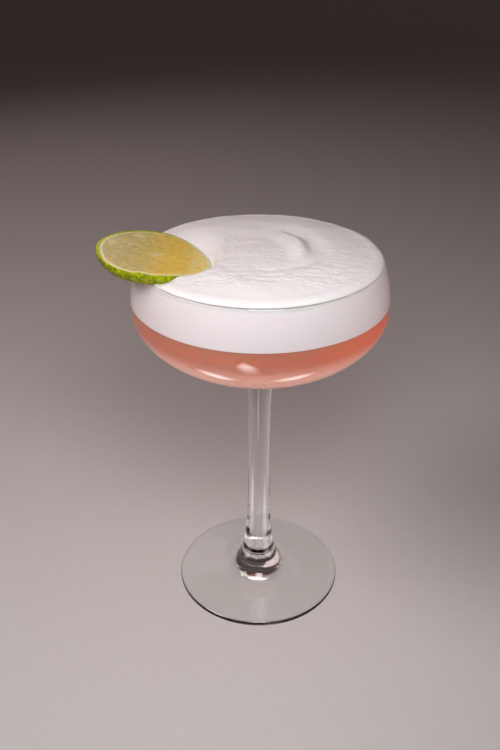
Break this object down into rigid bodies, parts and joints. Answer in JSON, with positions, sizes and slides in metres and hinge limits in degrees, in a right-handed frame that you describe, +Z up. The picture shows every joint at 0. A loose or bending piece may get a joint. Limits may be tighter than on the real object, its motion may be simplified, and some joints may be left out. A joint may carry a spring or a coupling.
{
  "type": "foam-topped cocktail in a coupe glass",
  "caption": "Stemmed coupe glass filled with a coral cocktail under a thick domed white foam head, with a round citrus slice lying over the lip.",
  "frame": {"origin": "centre of the flat underside of the foot, on the glass's axis", "axes": "+Z up along the stem, -X towards the slice on the lip, -Y towards the viewer of the picture"},
  "size_m": [0.1102, 0.1004, 0.1633],
  "materials": {
    "glass": "clear polished",
    "drink": "cloudy coral liquid",
    "foam": "soft white foam",
    "lime": "wet cut citrus with a bumpy green rind"
  },
  "bodies": {
    "root": {"glass": "glass", "drink": "drink", "foam": "foam", "lime_slice": "lime"}
  },
  "joints": []
}
